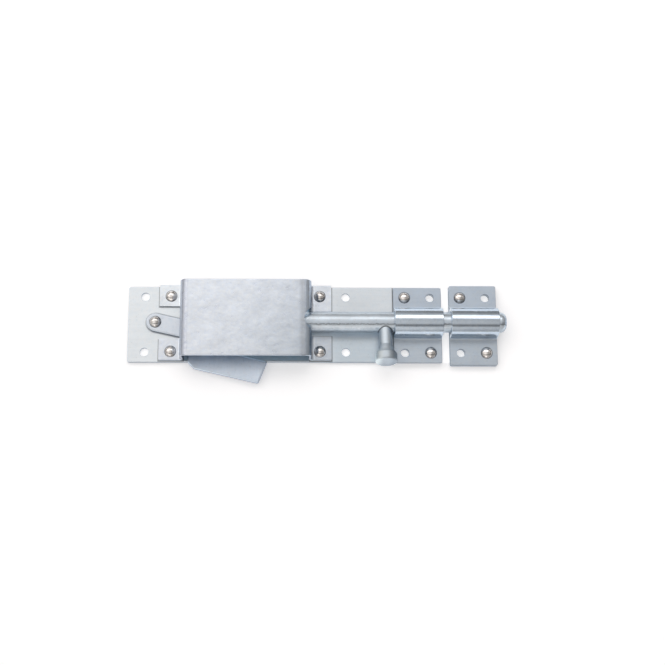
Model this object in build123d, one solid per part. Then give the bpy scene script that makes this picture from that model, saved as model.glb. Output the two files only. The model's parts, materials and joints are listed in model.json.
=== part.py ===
from build123d import *
import os
from math import cos, radians, sin, sqrt, tan

# Stable door bolt: a round bolt under a bent steel casing, with a drop lever behind it.
# Frame: X runs along the bolt towards its tip, Y is up on the door, Z points out of the door.
# Origin: centre of the back plate's four screw holes, on the face that lies on the door.

# Back plate
plate_thickness = 3.0
plate_height = 60.0
plate_corner_radius = 1.5
plate_edge_radius = 0.5
plate_hole_spacing_x = 156.0
plate_hole_spacing_y = 44.0
plate_hole_to_left_end = 13.0
screw_hole_diameter = 6.5

# Casing: one bent sheet, open above and below
casing_sheet = 2.0
casing_width = 100.6
casing_shift_x = 0.7
casing_height = 24.5
casing_length_y = 60.0
casing_shift_y = 1.0
casing_shoulder_radius = 3.6
casing_foot_radius = 2.2
casing_left_tab = 17.2
casing_right_tab = 15.8
casing_edge_radius = 0.9
casing_left_rivet_to_side = 8.1
casing_right_rivet_to_side = 6.7
casing_lever_opening_top = 13.9
casing_lever_headroom = 2.5
notch_width = 20.0
notch_end_from_side = 5.5

# Rivets
rivet_shank_diameter = 5.0
rivet_head_diameter = 9.2
rivet_head_height = 2.8
rivet_tail_diameter = 7.6
rivet_tail_depth = 1.3

# Bolt
rod_diameter = 16.0
rod_length = 167.0
rod_tip_round = 4.6
rod_rear_chamfer = 1.0
rod_lift = 0.4
rod_tip_beyond_keeper = 6.3

# Pull knob, turned from one bar and pressed into the rod
knob_to_guide = 2.0
knob_tilt = 12.0
knob_spigot_diameter = 7.0
knob_spigot_depth = 9.0
knob_shank_diameter = 10.0
knob_shank_end = 19.8
knob_head_start = 26.4
knob_head_end = 33.8
knob_head_diameter = 17.0
knob_head_edge = 1.4

# Guide strap and keeper strap: the same bent section, its feet a little low about the arch
strap_sheet = 2.5
strap_bore_clearance = 0.8
strap_foot_radius = 2.4
strap_corner_radius = 1.2
strap_edge_radius = 0.4
strap_hole_spacing_x = 20.0
strap_shift_y = -0.8
guide_width = 37.6
guide_from_last_hole = 37.1
keeper_width = 37.0
keeper_height = 63.4
keeper_gap = 6.2

# Drop lever
lever_thickness = 3.0
lever_play = 0.3
lever_arm_width = 14.4
lever_drop = 13.0
lever_pivot_to_wall = 20.0
lever_pivot_y = 1.1
pivot_fit = 0.05
lever_edge_radius = 1.1
tongue_left = 32.2
tongue_right = 88.7
tongue_right_lean = 3.5
tongue_depth = 29.1
tongue_heel_length = 5.2
tongue_heel_height = 3.5
tongue_corner_radius = 1.6
fork_root = 56.0
fork_root_top = 5.5
fork_clearance_below = 1.8
jaw_tip = 92.0
jaw_tip_under = 21.7
jaw_tip_top = 27.3
jaw_slope_end = 82.0
jaw_top_start = 44.0

# Worked out from the sizes above
rod_radius = rod_diameter / 2
rod_axis_z = plate_thickness + rod_lift + rod_radius
plate_top = plate_thickness
half_holes_x = plate_hole_spacing_x / 2
half_holes_y = plate_hole_spacing_y / 2
plate_left = -half_holes_x - plate_hole_to_left_end
guide_left = half_holes_x + guide_from_last_hole
guide_right = guide_left + guide_width
keeper_left = guide_right + keeper_gap
keeper_right = keeper_left + keeper_width
rod_tip_x = keeper_right + rod_tip_beyond_keeper
rod_rear_x = rod_tip_x - rod_length
knob_x = guide_left - knob_to_guide - knob_shank_diameter / 2
casing_left = casing_shift_x - casing_width / 2
casing_right = casing_shift_x + casing_width / 2
tab_left = casing_left - casing_left_tab
tab_right = casing_right + casing_right_tab
left_rivet_x = casing_left - casing_left_rivet_to_side
right_rivet_x = casing_right + casing_right_rivet_to_side
casing_top_y = casing_shift_y + casing_length_y / 2
casing_bottom_y = casing_shift_y - casing_length_y / 2
pivot_x = casing_left - lever_pivot_to_wall
lever_bottom = plate_top + lever_play
lever_top = lever_bottom + lever_thickness


def plate_blank(left, right, height, thickness, middle_y, corner, edge):
    """A flat sheet with round corners and softened outer edges."""
    outline = Rectangle(right - left, height)
    outline = fillet(outline.vertices(), corner)
    blank = extrude(Pos((left + right) / 2, middle_y, 0) * outline, thickness)
    return fillet(blank.faces().sort_by(Axis.Z)[-1].edges(), edge)


def drilled(body, places, diameter):
    """Round holes right through a body, at places in X and Y."""
    for x, y in places:
        body = body - Pos(x, y, 0) * Cylinder(diameter / 2, 4 * casing_height)
    return body


def countersunk(body, places):
    """Rivet holes with a countersink on the back for the flush tail."""
    body = drilled(body, places, rivet_shank_diameter)
    for x, y in places:
        body = body - Pos(x, y, rivet_tail_depth / 2) * rivet_tail()
    return body


def rivet_tail():
    return Cone(rivet_tail_diameter / 2, rivet_shank_diameter / 2, rivet_tail_depth)


def rivet(x, y, seat):
    """A round-headed rivet, its head on seat and its tail flush with the back face."""
    head_radius = rivet_head_diameter / 2
    dome_radius = (head_radius**2 + rivet_head_height**2) / (2 * rivet_head_height)
    dome_centre = seat + rivet_head_height - dome_radius
    dome = Pos(0, 0, dome_centre) * Sphere(dome_radius)
    above_seat = Pos(0, 0, seat + dome_radius)
    head = dome & (above_seat * Box(4 * dome_radius, 4 * dome_radius, 2 * dome_radius))
    shank = Pos(0, 0, seat / 2) * Cylinder(rivet_shank_diameter / 2, seat)
    tail = Pos(0, 0, rivet_tail_depth / 2) * rivet_tail()
    return Pos(x, y, 0) * (head + shank + tail)


def casing_section():
    """The casing's bent section in X and Z, at the sheet's full thickness."""
    middle = casing_sheet / 2
    foot = plate_top + middle
    left = casing_left + middle
    right = casing_right - middle
    roof = casing_height - middle
    bends = [(tab_left, foot), (left, foot), (left, roof), (right, roof), (right, foot), (tab_right, foot)]
    foot_bend = casing_foot_radius + middle
    shoulder = casing_shoulder_radius + middle
    path = FilletPolyline(*bends, radius=[foot_bend, shoulder, shoulder, foot_bend])
    return Plane.XZ * trace(path, casing_sheet)


def casing_lever_gap():
    """Heights in Y between which the left tabs leave room for the lever arm."""
    drop = radians(lever_drop)
    inner_wall = lever_pivot_to_wall + casing_sheet
    arm_edge = lever_arm_width / 2 / cos(drop) + inner_wall * tan(drop)
    return lever_pivot_y - arm_edge - lever_play, casing_lever_opening_top


def make_casing():
    body = extrude(casing_section(), casing_length_y / 2, both=True)
    body = Pos(0, casing_shift_y, 0) * body
    ends = body.faces().sort_by(Axis.Y)
    body = fillet(ends[0].edges() + ends[-1].edges(), casing_edge_radius)
    low, high = casing_lever_gap()
    gap_top = lever_top + casing_lever_headroom
    gap_depth = casing_left_tab + casing_foot_radius + 3 * casing_sheet
    gap = Box(gap_depth, high - low, gap_top, align=(Align.MIN, Align.CENTER, Align.MIN))
    body = body - Pos(tab_left - casing_sheet, (low + high) / 2, 0) * gap
    return body - make_notch()


def make_notch():
    """The slot that lets the rod in: straight up the right wall, then round over the bend."""
    radius = notch_width / 2
    bend = casing_shoulder_radius + casing_sheet
    slant = Plane(
        origin=(casing_right - notch_end_from_side, 0, casing_height),
        x_dir=(0, 1, 0),
        z_dir=(1, 0, 1),
    )
    down = radius / sqrt(2)
    centre = slant.origin + Vector(down, 0, -down)
    round_end = Plane(origin=centre, x_dir=(0, 1, 0), z_dir=(1, 0, 1)) * Cylinder(radius, 4 * bend)
    straight_top = centre.Z - (centre.X - casing_right)
    straight = Box(
        casing_right_tab + 3 * casing_sheet,
        notch_width,
        straight_top,
        align=(Align.MIN, Align.CENTER, Align.MIN),
    )
    return round_end + Pos(casing_right - 2 * casing_sheet, 0, 0) * straight


def strap_section(height):
    """The strap's bent section in Y and Z: two feet and a round arch over the rod."""
    middle = strap_sheet / 2
    foot_z = plate_top + middle
    arch = rod_radius + strap_bore_clearance + middle
    bend = strap_foot_radius + middle
    bend_y = arch + bend
    right_foot = Line((strap_shift_y + height / 2, foot_z), (bend_y, foot_z))
    right_bend = CenterArc((bend_y, foot_z + bend), bend, 180, 90)
    right_leg = Line((arch, foot_z + bend), (arch, rod_axis_z))
    crown = CenterArc((0, rod_axis_z), arch, 0, 180)
    left_leg = Line((-arch, rod_axis_z), (-arch, foot_z + bend))
    left_bend = CenterArc((-bend_y, foot_z + bend), bend, 270, 90)
    left_foot = Line((-bend_y, foot_z), (strap_shift_y - height / 2, foot_z))
    path = Curve() + [right_foot, right_bend, right_leg, crown, left_leg, left_bend, left_foot]
    return Plane.YZ * trace(path, strap_sheet)


def strap_places(left, width, spacing_y, sign):
    """Two opposite corners of a strap: sign 1 gives the rivets, -1 the screw holes."""
    middle = left + width / 2
    step = strap_hole_spacing_x / 2
    rise = sign * spacing_y / 2
    return [(middle - step, strap_shift_y + rise), (middle + step, strap_shift_y - rise)]


def make_strap(left, width, height):
    body = Pos(left, 0, 0) * extrude(strap_section(height), width)
    upright = body.edges().filter_by(Axis.Z)
    corners = upright.group_by(lambda e: round(abs(e.center().Y - strap_shift_y), 2))[-1]
    body = fillet(corners, strap_corner_radius)
    ends = body.faces().sort_by(Axis.X)
    body = fillet(ends[0].edges() + ends[-1].edges(), strap_edge_radius)
    body = drilled(body, strap_places(left, width, plate_hole_spacing_y, 1), rivet_shank_diameter)
    return drilled(body, strap_places(left, width, plate_hole_spacing_y, -1), screw_hole_diameter)


def make_rod():
    body = Cylinder(rod_radius, rod_length, rotation=(0, 90, 0))
    body = Pos(rod_rear_x + rod_length / 2, 0, rod_axis_z) * body
    body = fillet(body.edges().filter_by(GeomType.CIRCLE).sort_by(Axis.X)[-1], rod_tip_round)
    body = chamfer(body.edges().filter_by(GeomType.CIRCLE).sort_by(Axis.X)[0], rod_rear_chamfer)
    return body - knob_axis() * Cylinder(
        knob_spigot_diameter / 2,
        knob_spigot_depth,
        align=(Align.CENTER, Align.CENTER, Align.MAX),
    ).moved(Location((0, 0, rod_radius)))


def knob_axis():
    """A frame on the rod's axis whose Z runs out along the knob."""
    tilt = radians(knob_tilt)
    return Plane(
        origin=(knob_x, 0, rod_axis_z),
        x_dir=(1, 0, 0),
        z_dir=(0, -cos(tilt), sin(tilt)),
    )


def make_knob():
    """The knob turned about its axis, with a spigot that fills the rod's hole."""
    shank = knob_shank_diameter / 2
    head = knob_head_diameter / 2
    spigot = knob_spigot_diameter / 2
    spigot_start = rod_radius - knob_spigot_depth
    edge = knob_head_edge
    with BuildSketch(Plane.XZ) as half:
        with BuildLine():
            Polyline(
                (0, spigot_start),
                (spigot, spigot_start),
                (spigot, 0),
                (shank, 0),
                (shank, knob_shank_end),
                (head - edge, knob_head_start - edge / 2),
            )
            RadiusArc((head - edge, knob_head_start - edge / 2), (head, knob_head_start + edge), -1.6 * edge)
            Line((head, knob_head_start + edge), (head, knob_head_end - edge))
            RadiusArc((head, knob_head_end - edge), (head - edge, knob_head_end), -edge)
            Polyline((head - edge, knob_head_end), (0, knob_head_end), (0, spigot_start))
        make_face()
    turned = knob_axis() * revolve(half.sketch, Axis.Z)
    around_rod = Cylinder(rod_radius, rod_length, rotation=(0, 90, 0))
    around_rod = Pos(rod_rear_x + rod_length / 2, 0, rod_axis_z) * around_rod
    inside = knob_axis() * Cylinder(
        spigot, knob_spigot_depth, align=(Align.CENTER, Align.CENTER, Align.MAX)
    ).moved(Location((0, 0, rod_radius)))
    return (turned - around_rod) + (inside & around_rod)


def lever_outline():
    """The lever lifted level, its pivot at the origin: arm, tongue below, catch jaw above."""
    arm = lever_arm_width / 2
    slot_floor = -lever_pivot_y - rod_radius - fork_clearance_below
    lean = tongue_right_lean * (slot_floor + tongue_depth) / (tongue_depth - arm)
    with BuildSketch() as flat:
        with BuildLine():
            Polyline(
                (0, -arm),
                (tongue_left - tongue_heel_length, -arm),
                (tongue_left, -tongue_depth + tongue_heel_height),
                (tongue_left + tongue_heel_length, -tongue_depth),
                (tongue_right, -tongue_depth),
                (tongue_right + lean, slot_floor),
                (fork_root, slot_floor),
                (fork_root, fork_root_top),
                (jaw_slope_end, jaw_tip_under),
                (jaw_tip, jaw_tip_under),
                (jaw_tip, jaw_tip_top),
                (jaw_top_start + jaw_tip_top - arm, jaw_tip_top),
                (jaw_top_start, arm),
                (0, arm),
            )
            RadiusArc((0, arm), (0, -arm), -arm)
        make_face()
        corners = [v for v in flat.vertices() if v.X > arm / 2]
        fillet(corners, tongue_corner_radius)
        Circle(rivet_shank_diameter / 2 + pivot_fit, mode=Mode.SUBTRACT)
    return flat.sketch


def make_lever():
    body = extrude(Pos(0, 0, lever_bottom) * lever_outline(), lever_thickness)
    rim = body.faces().sort_by(Axis.Z)[-1].outer_wire().edges()
    body = fillet(rim, lever_edge_radius)
    return Pos(pivot_x, lever_pivot_y, 0) * Rot(0, 0, -lever_drop) * body


def pivot_rivet():
    """The lever's rivet: its head stands clear of the lever, its tail is flush behind."""
    return rivet(pivot_x, lever_pivot_y, lever_top + lever_play)


os.makedirs("parts", exist_ok=True)

casing_places = {
    "upper_left": (left_rivet_x, half_holes_y),
    "lower_left": (left_rivet_x, -half_holes_y),
    "upper_right": (right_rivet_x, half_holes_y),
    "lower_right": (right_rivet_x, -half_holes_y),
}
corner_holes = [(sx * half_holes_x, sy * half_holes_y) for sx in (-1, 1) for sy in (-1, 1)]
guide_rivets = strap_places(guide_left, guide_width, plate_hole_spacing_y, 1)
guide_holes = strap_places(guide_left, guide_width, plate_hole_spacing_y, -1)
keeper_rivets = strap_places(keeper_left, keeper_width, plate_hole_spacing_y, 1)
keeper_holes = strap_places(keeper_left, keeper_width, plate_hole_spacing_y, -1)

back_plate = plate_blank(
    plate_left, guide_right, plate_height, plate_thickness, 0, plate_corner_radius, plate_edge_radius
)
back_plate = drilled(back_plate, corner_holes + guide_holes, screw_hole_diameter)
plate_rivets = list(casing_places.values()) + guide_rivets + [(pivot_x, lever_pivot_y)]
export_step(countersunk(back_plate, plate_rivets), "parts/back_plate.step")

casing = drilled(make_casing(), list(casing_places.values()), rivet_shank_diameter)
export_step(casing, "parts/casing.step")
for place, (x, y) in casing_places.items():
    export_step(rivet(x, y, plate_top + casing_sheet), f"parts/casing_rivet_{place}.step")

export_step(make_strap(guide_left, guide_width, plate_height), "parts/guide_strap.step")
export_step(make_strap(keeper_left, keeper_width, keeper_height), "parts/keeper_strap.step")
for name, places in (("guide", guide_rivets), ("keeper", keeper_rivets)):
    for side, (x, y) in zip(("upper", "lower"), places):
        export_step(rivet(x, y, plate_top + strap_sheet), f"parts/{name}_rivet_{side}.step")

keeper_plate = plate_blank(
    keeper_left,
    keeper_right,
    keeper_height,
    plate_thickness,
    strap_shift_y,
    strap_corner_radius,
    plate_edge_radius,
)
keeper_plate = countersunk(drilled(keeper_plate, keeper_holes, screw_hole_diameter), keeper_rivets)
export_step(keeper_plate, "parts/keeper_plate.step")

export_step(make_rod(), "parts/bolt_rod.step")
export_step(make_knob(), "parts/bolt_knob.step")
export_step(make_lever(), "parts/drop_lever.step")
export_step(pivot_rivet(), "parts/lever_pivot_rivet.step")
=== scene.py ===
import json
import math

import bpy
from mathutils import Matrix, Vector

mm = 0.001

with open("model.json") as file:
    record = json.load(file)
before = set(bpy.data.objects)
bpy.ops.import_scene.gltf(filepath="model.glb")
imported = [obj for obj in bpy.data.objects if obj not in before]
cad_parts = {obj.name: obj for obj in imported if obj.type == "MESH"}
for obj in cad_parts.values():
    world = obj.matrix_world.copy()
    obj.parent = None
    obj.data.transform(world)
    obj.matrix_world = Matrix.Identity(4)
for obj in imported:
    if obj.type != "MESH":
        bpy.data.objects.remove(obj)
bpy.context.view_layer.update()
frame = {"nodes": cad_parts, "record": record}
nodes = frame["nodes"]
print("frame loaded,", len(nodes), "nodes")


# a node's box in mm: left and right, low and high, back and front
def boxOf(name):
    corners = [nodes[name].matrix_world @ Vector(corner) / mm for corner in nodes[name].bound_box]
    return [(min(c[axis] for c in corners), max(c[axis] for c in corners)) for axis in range(3)]


def middleOf(name):
    return [(low + high) / 2 for low, high in boxOf(name)]


# shader maths on sockets

class Socket:
    def __init__(self, paint, link):
        self.paint = paint
        self.link = link

    def math(self, operation, other, swap=False):
        pair = (other, self) if swap else (self, other)
        return self.paint.node("ShaderNodeMath", {"operation": operation}, {0: pair[0], 1: pair[1]})

    def __add__(self, other):
        return self.math("ADD", other)

    def __radd__(self, other):
        return self.math("ADD", other, True)

    def __sub__(self, other):
        return self.math("SUBTRACT", other)

    def __rsub__(self, other):
        return self.math("SUBTRACT", other, True)

    def __mul__(self, other):
        return self.math("MULTIPLY", other)

    def __rmul__(self, other):
        return self.math("MULTIPLY", other, True)

    def __pow__(self, other):
        return self.math("POWER", other)

    def __abs__(self):
        return self.math("ABSOLUTE", 0.0)


class Paint:
    def __init__(self, tree):
        self.tree = tree
        self.tree.nodes.clear()

    def node(self, kind, settings=None, inputs=None, output=0):
        made = self.tree.nodes.new(kind)
        for name, value in (settings or {}).items():
            if name == "stops":
                self.stops(made.color_ramp, value)
            else:
                setattr(made, name, value)
        for name, value in (inputs or {}).items():
            target = made.inputs[name]
            if isinstance(value, Socket):
                self.tree.links.new(value.link, target)
            else:
                target.default_value = value
        return Socket(self, made.outputs[output]) if made.outputs else made

    def stops(self, ramp, stops):
        while len(ramp.elements) > 1:
            ramp.elements.remove(ramp.elements[-1])
        for count, (place, colour) in enumerate(stops):
            spot = ramp.elements[0] if count == 0 else ramp.elements.new(place)
            spot.position = place
            spot.color = (*colour, 1.0)

    def split(self, vector):
        return [self.node("ShaderNodeSeparateXYZ", {}, {0: vector}, axis) for axis in ("X", "Y", "Z")]

    def mix(self, amount, first, second, blend="MIX"):
        settings = {"data_type": "RGBA", "blend_type": blend, "clamp_factor": True}
        # a Mix node's colours come in at 6 and 7 and go out at 2
        return self.node("ShaderNodeMix", settings, {0: amount, 6: first, 7: second}, 2)

    def noise(self, scale, detail, where, rough=0.5):
        inputs = {"Scale": scale, "Detail": detail, "Vector": where, "Roughness": rough}
        return self.node("ShaderNodeTexNoise", {}, inputs)

    def place(self, stretch=(1, 1, 1), shift=(0, 0, 0)):
        spot = self.node("ShaderNodeTexCoord", output="Object")
        return self.node("ShaderNodeMapping", {}, {"Vector": spot, "Scale": stretch, "Location": shift})

    def remap(self, value, low, high, toLow, toHigh):
        inputs = {"Value": value, "From Min": low, "From Max": high, "To Min": toLow, "To Max": toHigh}
        return self.node("ShaderNodeMapRange", {"clamp": True}, inputs)


# fine lines, most of them painted shade, and boxes on a surface, in mm on the frame's axes

edges = {
    "lineOut": 0.25,  # how far outside its edge a fine line runs
    "lineCore": 0.2,  # and how far from there it is full, and gone
    "lineFade": 0.8,
    "seamShadeFade": 0.75,
    "ringFade": 1.0,  # over this the knob's ring comes in, from the top of the bar
    "boxFade": (-0.2, 0.1),  # a box is full this far inside its edge, and gone this far outside
}


def fineLine(paint, gap, fade):
    return paint.remap(abs(gap - edges["lineOut"] * mm), edges["lineCore"] * mm, fade * mm, 1.0, 0.0)


def beyond(value, low, high):
    return abs(value - (low + high) / 2 * mm) - (high - low) / 2 * mm


def distance(along, across):
    return (along * along + across * across) ** 0.5


# painted shade: a dark line just outside a box's edge, where a step stands on the plate
def seamShadeLine(paint, spot, box):
    left, right, low, high = box
    gap = beyond(spot[0], left, right).math("MAXIMUM", beyond(spot[1], low, high))
    return fineLine(paint, gap, edges["seamShadeFade"])


# painted shadow: the dark line on the plate along the lever's edge, a round end and two straight sides
def leverShadeLine(paint, spot, line):
    side, rise = [value - start * mm for value, start in zip(spot, line["start"])]
    cosine, sine = math.cos(math.radians(line["turn"])), math.sin(math.radians(line["turn"]))
    arm = side * cosine + rise * sine
    along = arm.math("MINIMUM", 0.0) + (arm - line["reach"] * mm).math("MAXIMUM", 0.0)
    across = rise * cosine - side * sine
    return fineLine(paint, distance(along, across) - line["radius"] * mm, edges["lineFade"])


# the ring on the bar where the knob stands on it, on the knob's side of the bar
def knobLine(paint, spot, line):
    side, rise, out = [value - start * mm for value, start in zip(spot, line["start"])]
    cosine, sine = math.cos(math.radians(line["turn"])), math.sin(math.radians(line["turn"]))
    across = rise * sine + out * cosine
    ring = fineLine(paint, distance(side, across) - line["radius"] * mm, edges["lineFade"])
    return ring * paint.remap(rise, 0.0, -edges["ringFade"] * mm, 0.0, 1.0)


def inside(paint, spot, box):
    share = 1.0
    full, none = edges["boxFade"]
    for value, (low, high) in zip(spot, box):
        share = paint.remap(beyond(value, low, high), full * mm, none * mm, 1.0, 0.0) * share
    return share


# camera

camera = {
    "place": (33.6 * mm, -220.7 * mm, 931.0 * mm),
    "yaw": 2.1,
    "pitch": -13.0,
    "roll": 0.32,
    "focalPixels": 1224.0,
    "frameWidth": 665.0,
    "sensor": 36.0,
}


def makeCamera(view):
    data = bpy.data.cameras.new("camera")
    data.sensor_width = view["sensor"]
    data.lens = view["sensor"] * view["focalPixels"] / view["frameWidth"]
    eye = bpy.data.objects.new("camera", data)
    bpy.context.scene.collection.objects.link(eye)
    toCamera = (
        Matrix.Rotation(math.radians(view["roll"]), 3, "Z")
        @ Matrix.Rotation(math.radians(view["pitch"]), 3, "X")
        @ Matrix.Rotation(math.radians(view["yaw"]), 3, "Y")
    )
    eye.matrix_world = Matrix.Translation(view["place"]) @ toCamera.transposed().to_4x4()
    bpy.context.scene.camera = eye


# studio: a room of soft light and dark bands, and one soft lamp

studio = {
    # brightness by the angle from straight up, towards the back of the studio (+) or its front (-)
    "frontToBack": [
        (-115, 0.80), (-95, 1.00), (-60, 1.05), (-50, 0.95), (-44, 0.30), (-32, 0.25), (-26, 0.68),
        (-20, 0.80), (0, 0.78), (8, 0.68), (13, 0.69), (18, 0.98), (24, 1.44), (38, 1.44), (47, 0.95),
        (58, 0.64), (80, 0.55), (115, 0.30),
    ],
    # the same from left (-) to right (+), as a share: the left is bright and the right is dark
    "leftToRight": [
        (-115, 0.25), (-85, 0.45), (-62, 0.85), (-46, 1.15), (-30, 1.34), (-12, 1.16), (0, 0.98),
        (10, 0.78), (20, 0.54), (32, 0.46), (45, 0.44), (60, 0.42), (76, 0.29), (115, 0.24),
    ],
    "tallest": 2.0,  # a ramp's colours stop at 1, so the bands are divided by this
    "tint": (1.06, 1.0, 0.955),
    "strength": 0.98,
    "lampPower": 0.7,
    "lampSize": 0.42,
    "lampPlace": (0.34, 0.60, 0.95),
}


def makeWorld(room):
    world = bpy.data.worlds.new("studio")
    bpy.context.scene.world = world
    world.use_nodes = True
    paint = Paint(world.node_tree)
    rightward, backward, upward = paint.split(paint.node("ShaderNodeTexCoord", output="Generated"))

    def bands(side, table, tint):
        angle = side.math("ARCTAN2", upward)
        lowest, highest = table[0][0], table[-1][0]
        along = paint.remap(angle, math.radians(lowest), math.radians(highest), 0.0, 1.0)
        stops = [
            ((degrees - lowest) / (highest - lowest), [brightness / room["tallest"] * t for t in tint])
            for degrees, brightness in table
        ]
        return paint.node("ShaderNodeValToRGB", {"stops": stops}, {"Fac": along})

    depth = bands(backward, room["frontToBack"], room["tint"])
    width = bands(rightward, room["leftToRight"], (1, 1, 1))
    colour = paint.mix(1.0, depth, width, "MULTIPLY")
    strength = room["tallest"] ** 2 * room["strength"]
    lit = paint.node("ShaderNodeBackground", {}, {"Color": colour, "Strength": strength})
    white = paint.node("ShaderNodeBackground", {}, {"Color": (1, 1, 1, 1), "Strength": 1.0})
    seen = paint.node("ShaderNodeLightPath", output="Is Camera Ray")
    both = paint.node("ShaderNodeMixShader", {}, {0: seen, 1: lit, 2: white})
    paint.node("ShaderNodeOutputWorld", {}, {"Surface": both})


def makeLamp(room):
    data = bpy.data.lights.new("window", "AREA")
    data.energy = room["lampPower"]
    data.size = room["lampSize"]
    lamp = bpy.data.objects.new("window", data)
    bpy.context.scene.collection.objects.link(lamp)
    lamp.location = room["lampPlace"]
    lamp.rotation_euler = lamp.location.to_track_quat("Z", "Y").to_euler()


# paper floor

floor = {
    "size": 6.0,
    "drop": 0.0002,
    "colour": (0.90, 0.925, 0.96, 1),
    "glow": 0.365,
    # painted light: the paper glows a little brighter behind the bolt, which lifts the object's shade
    # there; this comes in between these two places in Y
    "backGlow": 0.09,
    "back": (15.0, 45.0),
    # and painted light under the plates, which lifts the shade that the screw holes show, up to this far
    # from their outer edges
    "holeGlow": 0.23,
    "holeInset": 0.5,
}


def underPlates(inset):
    left, right = boxOf("back_plate")[0][0], boxOf("keeper_plate")[0][1]
    low, high = boxOf("back_plate")[1]
    return (left + inset, right - inset), (low + inset, high - inset)


def makeFloor(paper):
    bpy.ops.object.select_all(action="DESELECT")
    bpy.ops.mesh.primitive_plane_add(size=paper["size"], location=(0, 0, -paper["drop"]))
    ground = bpy.context.object
    ground.name = "floor"
    skin = bpy.data.materials.new("paper")
    skin.use_nodes = True
    paint = Paint(skin.node_tree)
    matt = paint.node("ShaderNodeBsdfDiffuse", {}, {"Color": paper["colour"]})
    rays = ("Is Camera Ray", "Is Glossy Ray", "Is Transmission Ray")
    seen, mirrored, through = [paint.node("ShaderNodeLightPath", output=ray) for ray in rays]
    spot = paint.split(paint.place())
    start, full = paper["back"]
    strength = inside(paint, spot, underPlates(paper["holeInset"])) * paper["holeGlow"] + paper["glow"]
    strength = strength + paint.remap(spot[1], start * mm, full * mm, 0.0, paper["backGlow"])
    glow = paint.node("ShaderNodeEmission", {}, {"Strength": (seen + mirrored + through) * strength})
    both = paint.node("ShaderNodeAddShader", {}, {0: matt, 1: glow})
    paint.node("ShaderNodeOutputMaterial", {}, {"Surface": both})
    ground.data.materials.append(skin)


bpy.context.scene.view_settings.view_transform = "Standard"
makeCamera(camera)
makeWorld(studio)
makeLamp(studio)
makeFloor(floor)
print("camera, light and floor set")


# what all the metals share

anyMetal = {
    "grainDetail": 3.0,
    "streakDetail": 2.0,
    "streakShift": (2, 5, 3),
    "mottleDetail": 4.0,
    "mottleRough": 0.6,
    "cloudDetail": 2.0,
    "cloudShift": (3, 7, 1),
    "speckDetail": 2.0,
    "speckRough": 0.7,
    "speckEdge": (0.60, 0.72),
    "toneEdge": (0.3, 0.7),
    # how much each noise counts in the evenness and in the wear, and the range that the sum keeps to
    "evenShare": {"cloud": 0.45, "grain": 0.25, "streak": 0.3},
    "wearShare": {"mottle": 0.4, "grain": 0.3, "streak": 0.3},
    "sumEdge": (0.35, 0.65),
    "noiseMiddle": 0.5,
    "wobble": 2.5,  # mm by which the edge of each tint wanders, both stains and painted light and shade
}


def metalNoises(paint, finish, spot):
    m = anyMetal
    specks = paint.noise(finish["speck"], m["speckDetail"], spot, m["speckRough"])
    return {
        "grain": paint.noise(1.0, m["grainDetail"], paint.place(finish["grain"])),
        "streak": paint.noise(1.0, m["streakDetail"], paint.place(finish["streak"], m["streakShift"])),
        "mottle": paint.noise(finish["mottle"], m["mottleDetail"], spot, m["mottleRough"]),
        "cloud": paint.noise(finish["cloud"], m["cloudDetail"], paint.place(shift=m["cloudShift"])),
        "speck": paint.remap(specks, *m["speckEdge"], 0.0, 1.0),
    }


def weighed(noises, shares):
    return sum(noises[name] * share for name, share in shares.items())


def shadeOf(paint, finish, noises, spot):
    even = weighed(noises, anyMetal["evenShare"])
    shade = paint.remap(even, *anyMetal["sumEdge"], 1 - finish["uneven"], 1.0)
    shade = shade * (1 - noises["speck"] * finish["specks"])
    # painted shade lines round the tabs and along the lever's edge, and the ring where the knob stands on
    # the bar
    for box in finish.get("seamShades", ()):
        shade = shade * (1 - finish["seamShadeDepth"] * seamShadeLine(paint, spot, box))
    for key, drawn in (("leverShadeLine", leverShadeLine), ("knobLine", knobLine)):
        if key in finish:
            shade = shade * (1 - finish[key]["depth"] * drawn(paint, spot, finish[key]))
    return shade


# each entry is a tint and where it lies, most of them painted light and shade: along an axis it starts at
# one place and is full at the other, in mm
def paintStainsAndLight(paint, base, stainsAndPaintedLight, spot, wobble):
    place = {"X": spot[0] + wobble, "Y": spot[1] + wobble, "Z": spot[2]}
    for tint, ramps in stainsAndPaintedLight:
        share = 1.0
        for axis, start, full in ramps:
            share = paint.remap(place[axis], start * mm, full * mm, 0.0, 1.0) * share
        base = paint.mix(share, base, (*tint, 1), "MULTIPLY")
    return base


# painted shade round the rim of a rivet's head
def paintedShadeEdge(paint, base, finish, spot, wobble):
    across, rise = [value - middle * mm for value, middle in zip(spot, finish["centre"])]
    away = distance(across, rise) + wobble * finish["edgeWobble"]
    start, full = finish["edge"]
    share = paint.remap(away, start * mm, full * mm, 0.0, 1.0)
    return paint.mix(share, base, (*finish["edgeShadeTint"], 1), "MULTIPLY")


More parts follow.
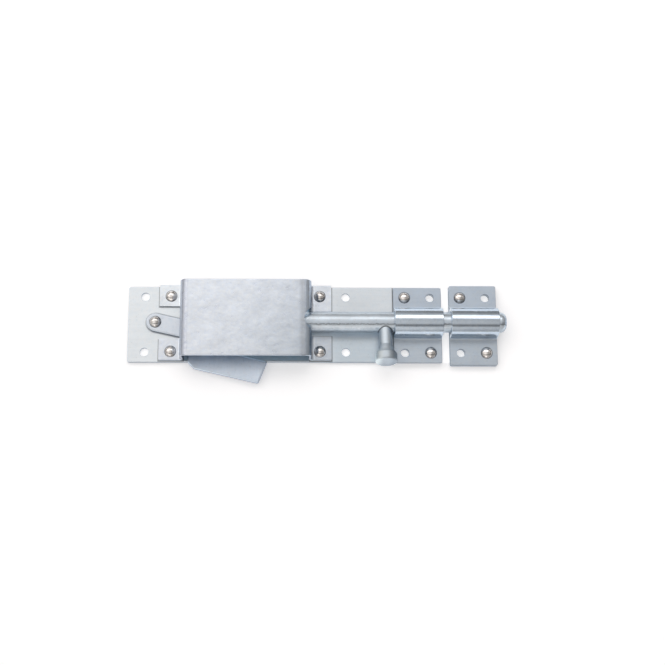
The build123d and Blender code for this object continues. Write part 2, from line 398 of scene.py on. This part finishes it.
def metal(name, finish):
    skin = bpy.data.materials.new(name)
    skin.use_nodes = True
    paint = Paint(skin.node_tree)
    place = paint.place()
    spot = paint.split(place)
    noises = metalNoises(paint, finish, place)
    wobble = (noises["mottle"] - anyMetal["noiseMiddle"]) * (anyMetal["wobble"] * mm)

    tone = paint.remap(noises["mottle"], *anyMetal["toneEdge"], 0.0, 1.0)
    base = paint.mix(tone, (*finish["cool"], 1), (*finish["warm"], 1))
    shade = shadeOf(paint, finish, noises, spot)
    grey = paint.node("ShaderNodeCombineXYZ", {}, {0: shade, 1: shade, 2: shade})
    base = paint.mix(1.0, base, grey, "MULTIPLY")
    base = paintStainsAndLight(paint, base, finish.get("stainsAndPaintedLight", ()), spot, wobble)
    if "centre" in finish:
        base = paintedShadeEdge(paint, base, finish, spot, wobble)
    # painted light: bluer and brighter in the shade under the casing
    if "inside" in finish:
        share = inside(paint, spot, finish["inside"])
        base = paint.mix(share, base, (*finish["insidePaintedLight"], 1), "MULTIPLY")

    wear = weighed(noises, anyMetal["wearShare"])
    rough = paint.remap(wear, *anyMetal["sumEdge"], *finish["rough"])
    if "footRough" in finish:
        start, full = finish["footHeight"]
        rough = rough + paint.remap(spot[2], start * mm, full * mm, 0.0, finish["footRough"])
    height = weighed(noises, finish["depth"])
    bump = paint.node("ShaderNodeBump", {}, {"Height": height, "Distance": mm, "Strength": 1.0})
    inputs = {"Base Color": base, "Roughness": rough, "Metallic": 1.0, "Normal": bump}
    body = paint.node("ShaderNodeBsdfPrincipled", {}, inputs)
    paint.node("ShaderNodeOutputMaterial", {}, {"Surface": body})
    return skin


# zinc of the two plates

tabs = {
    "ends": (-48.0, 50.0),  # where the casing's left and right tabs end, under the casing
    "leverOpening": (-12.8, 13.9),  # between the left tabs
    "slot": (-10.0, 10.0),  # between the right tabs
    "pastPlate": 1.0,  # keeps a line off the plate
}


# painted shade lines round boxes as left, right, low and high: the casing's four tabs, and the guide
# strap's left end
def plateSeamShades(casing, strap, plate):
    (left, right), (low, high) = casing[:2]
    leftEnd, rightEnd = tabs["ends"]
    past = tabs["pastPlate"]
    return (
        (left, leftEnd, tabs["leverOpening"][1], high),
        (left, leftEnd, low, tabs["leverOpening"][0]),
        (rightEnd, right, tabs["slot"][1], high),
        (rightEnd, right, low, tabs["slot"][0]),
        (strap[0][0], plate[0][1] + past, plate[1][0] - past, plate[1][1] + past),
    )


plateZinc = {
    "cool": (0.74, 0.825, 0.90),
    "warm": (0.79, 0.85, 0.90),
    "rough": (0.30, 0.40),
    "grain": (90, 900, 900),
    "streak": (30, 400, 400),
    "mottle": 300.0,
    "cloud": 45.0,
    "speck": 500.0,
    "uneven": 0.07,
    "specks": 0.08,
    "depth": {"grain": 0.004, "mottle": 0.016, "cloud": 0.04, "streak": 0.004},
    # painted shade lines on the plate round the casing's tabs and the guide strap's end
    "seamShadeDepth": 0.55,
    "seamShades": plateSeamShades(boxOf("casing"), boxOf("guide_strap"), boxOf("back_plate")),
    "leverShadeLine": {
        "start": middleOf("lever_pivot_rivet")[:2],
        "turn": -13.0,
        "reach": 20.0,
        "radius": 7.3,
        "depth": 0.32,
    },
    "stainsAndPaintedLight": (
        # painted shade right of the casing, then more of it, bluer, below the bar there
        ((0.86, 0.865, 0.875), (("X", 50, 75),)),
        ((0.90, 0.95, 0.985), (("X", 55, 70), ("Y", -4, -9))),
        # painted shade on the cut edges and in the screw holes' walls
        ((0.40, 0.43, 0.47), (("Z", 2.7, 2.3),)),
    ),
    # under the casing: painted light, bluer and a little brighter in its shade
    "inside": ((-48.0, 50.0), (-28.5, 31.5), (-1.0, 4.0)),
    "insidePaintedLight": (0.98, 1.08, 1.11),
}

# zinc of the casing

casingZinc = {
    "cool": (0.73, 0.82, 0.95),
    "warm": (0.80, 0.86, 0.93),
    "rough": (0.26, 0.37),
    "grain": (320, 480, 480),
    "streak": (120, 220, 220),
    "mottle": 430.0,
    "cloud": 100.0,
    "speck": 600.0,
    "uneven": 0.13,
    "specks": 0.05,
    "depth": {"grain": 0.007, "mottle": 0.08, "cloud": 0.15, "streak": 0.006},
    "stainsAndPaintedLight": (
        # painted shade growing over the right half, then the lower right corner
        ((0.85, 0.86, 0.87), (("X", -5, 42),)),
        ((0.90, 0.915, 0.92), (("X", -25, 42), ("Y", 20, -15))),
        # painted light on the upper tabs, right and left
        ((1.12, 1.11, 1.09), (("X", 53, 55), ("Y", 8, 12))),
        ((1.08, 1.08, 1.05), (("X", -48, -50), ("Y", 8, 12))),
        # painted reflection: dark, light and dark bands over the right shoulder
        ((0.76, 0.76, 0.76), (("X", 41.0, 43.8), ("Z", 8, 11))),
        ((1.13, 1.17, 1.20), (("X", 45.5, 47.0), ("Z", 8, 11))),
        ((0.68, 0.70, 0.75), (("X", 49.2, 50.6), ("Z", 8, 11))),
        # painted highlight in the bend at the right foot
        ((1.24, 1.22, 1.20), (("X", 50.6, 51.2), ("X", 54.5, 53.5), ("Z", 10, 7), ("Z", 4.8, 5.0))),
        # painted reflection: two dark bands over the left shoulder
        ((0.72, 0.72, 0.73), (("X", -44.4, -46.0), ("Z", 6, 9))),
        ((0.88, 0.88, 0.90), (("X", -42.8, -44.4), ("Z", 6, 9))),
        # painted shade on the tabs' cut edges
        ((0.55, 0.58, 0.62), (("Z", 4.7, 4.3),)),
    ),
    # inside the casing: painted light, a little bluer and brighter in its shade
    "inside": ((-48.2, 49.6), (-28.6, 31.6), (0.0, 22.6)),
    "insidePaintedLight": (0.98, 1.03, 1.05),
}

# zinc of the guide strap and the keeper strap

strapZinc = {
    "cool": (0.59, 0.70, 0.83),
    "warm": (0.64, 0.73, 0.82),
    "rough": (0.15, 0.23),
    "grain": (120, 900, 900),
    "streak": (25, 500, 500),
    "mottle": 330.0,
    "cloud": 70.0,
    "speck": 500.0,
    "uneven": 0.10,
    "specks": 0.10,
    "depth": {"grain": 0.003, "mottle": 0.025, "cloud": 0.09, "streak": 0.008},
    "stainsAndPaintedLight": (
        # painted shade on the feet's cut edges and hole walls
        ((0.34, 0.36, 0.40), (("Z", 5.2, 4.8),)),
        # painted shade on the feet, a little less at the lower ones
        ((0.80, 0.80, 0.81), (("Z", 7.5, 5.8),)),
        ((1.06, 1.05, 1.03), (("Z", 7.5, 5.8), ("Y", -8, -12))),
        # painted shade in the bends at the upper feet
        ((0.84, 0.83, 0.84), (("Z", 8.6, 7.0), ("Z", 5.55, 5.75), ("Y", 6, 8))),
    ),
    # the flat feet are duller than the arch
    "footRough": 0.24,
    "footHeight": (9.0, 6.0),
}

# zinc of the round bar

barZinc = {
    "cool": (0.64, 0.74, 0.83),
    "warm": (0.68, 0.75, 0.82),
    "rough": (0.30, 0.44),
    "grain": (150, 900, 900),
    "streak": (40, 600, 600),
    "mottle": 380.0,
    "cloud": 90.0,
    "speck": 500.0,
    "uneven": 0.22,
    "specks": 0.14,
    "depth": {"grain": 0.005, "mottle": 0.035, "cloud": 0.18, "streak": 0.014},
    "stainsAndPaintedLight": (
        # painted shade at the tip's end
        ((0.40, 0.47, 0.55), (("X", 199.8, 202.0),)),
        # along the bar, painted reflection: a light band, the thin dark wavy line and a light band, then
        # painted shade on the dark underside
        ((1.11, 1.13, 1.16), (("Y", 0.2, -0.4), ("Y", -2.9, -2.5))),
        ((0.62, 0.63, 0.65), (("Y", -2.6, -3.0), ("Y", -3.6, -3.2))),
        ((1.21, 1.20, 1.19), (("Y", -3.5, -4.0), ("Y", -6.3, -5.6))),
        ((0.86, 0.87, 0.88), (("Y", -6.6, -7.2),)),
    ),
    "knobLine": {
        "start": (middleOf("bolt_knob")[0], *middleOf("bolt_rod")[1:]),
        "turn": 12.0,
        "radius": 5.1,
        "depth": 0.75,
    },
}

# zinc of the pull knob

knobZinc = {
    "cool": (0.65, 0.75, 0.84),
    "warm": (0.69, 0.77, 0.84),
    "rough": (0.44, 0.56),
    "grain": (600, 600, 600),
    "streak": (60, 900, 200),
    "mottle": 420.0,
    "cloud": 120.0,
    "speck": 600.0,
    "uneven": 0.10,
    "specks": 0.10,
    "depth": {"grain": 0.004, "mottle": 0.03, "cloud": 0.05, "streak": 0.010},
    "stainsAndPaintedLight": (
        # painted shade on the end, then on the head and its right side, and painted light on its left side
        ((0.86, 0.86, 0.87), (("Y", -33.0, -34.0),)),
        ((0.83, 0.83, 0.83), (("Y", -22, -25),)),
        ((0.76, 0.78, 0.81), (("X", 110.0, 113.5), ("Y", -22, -25))),
        ((1.55, 1.52, 1.43), (("X", 105.5, 102.0), ("Y", -22, -25))),
        # painted shade on the shank's right side
        ((0.80, 0.82, 0.86), (("X", 111.2, 112.6), ("Y", -22, -20))),
    ),
}

# zinc of the drop lever

leverZinc = {
    "cool": (0.66, 0.78, 0.93),
    "warm": (0.71, 0.80, 0.92),
    "rough": (0.34, 0.44),
    "grain": (300, 300, 300),
    "streak": (400, 40, 400),
    "mottle": 300.0,
    "cloud": 60.0,
    "speck": 450.0,
    "uneven": 0.09,
    "specks": 0.10,
    "depth": {"grain": 0.004, "mottle": 0.03, "cloud": 0.08, "streak": 0.008},
    "stainsAndPaintedLight": (
        # painted shade on the cut edge and a painted highlight along its rounding
        ((0.42, 0.43, 0.48), (("Z", 5.7, 5.2),)),
        ((1.10, 1.10, 1.07), (("Z", 6.28, 6.1), ("Z", 5.7, 5.9))),
        # the end that shows left of the casing
        ((1.0, 0.965, 0.93), (("X", -46, -50),)),
    ),
}

# nickel of the rivets, each with painted shade round the edge of its own head

nickel = {
    "cool": (0.84, 0.85, 0.87),
    "warm": (0.90, 0.87, 0.84),
    "rough": (0.05, 0.11),
    "grain": (400, 400, 400),
    "streak": (300, 300, 300),
    "mottle": 420.0,
    "cloud": 230.0,
    "speck": 600.0,
    "uneven": 0.14,
    "specks": 0.25,
    "depth": {"grain": 0.003, "mottle": 0.16, "cloud": 0.34, "streak": 0.02},
    "edge": (3.3, 4.5),
    "edgeWobble": 0.4,
    "edgeShadeTint": (0.34, 0.33, 0.33),
}


def rivetNickel(name):
    return metal("nickel " + name, {**nickel, "centre": middleOf(name)[:2]})


slotFinish = {
    "plate_steel": metal("plateZinc", plateZinc),
    "casing_steel": metal("casingZinc", casingZinc),
    "strap_steel": metal("strapZinc", strapZinc),
    "bolt_steel": metal("barZinc", barZinc),
    "lever_steel": metal("leverZinc", leverZinc),
}
ownFinish = {name: rivetNickel(name) for name in nodes if "rivet" in name}
ownFinish["bolt_knob"] = metal("knobZinc", knobZinc)
slotOf = {part["node"]: part["material_slot"] for part in frame["record"]["subparts"]}
for name, node in nodes.items():
    node.data.materials.clear()
    node.data.materials.append(ownFinish.get(name) or slotFinish[slotOf[name]])
print("finishes set")
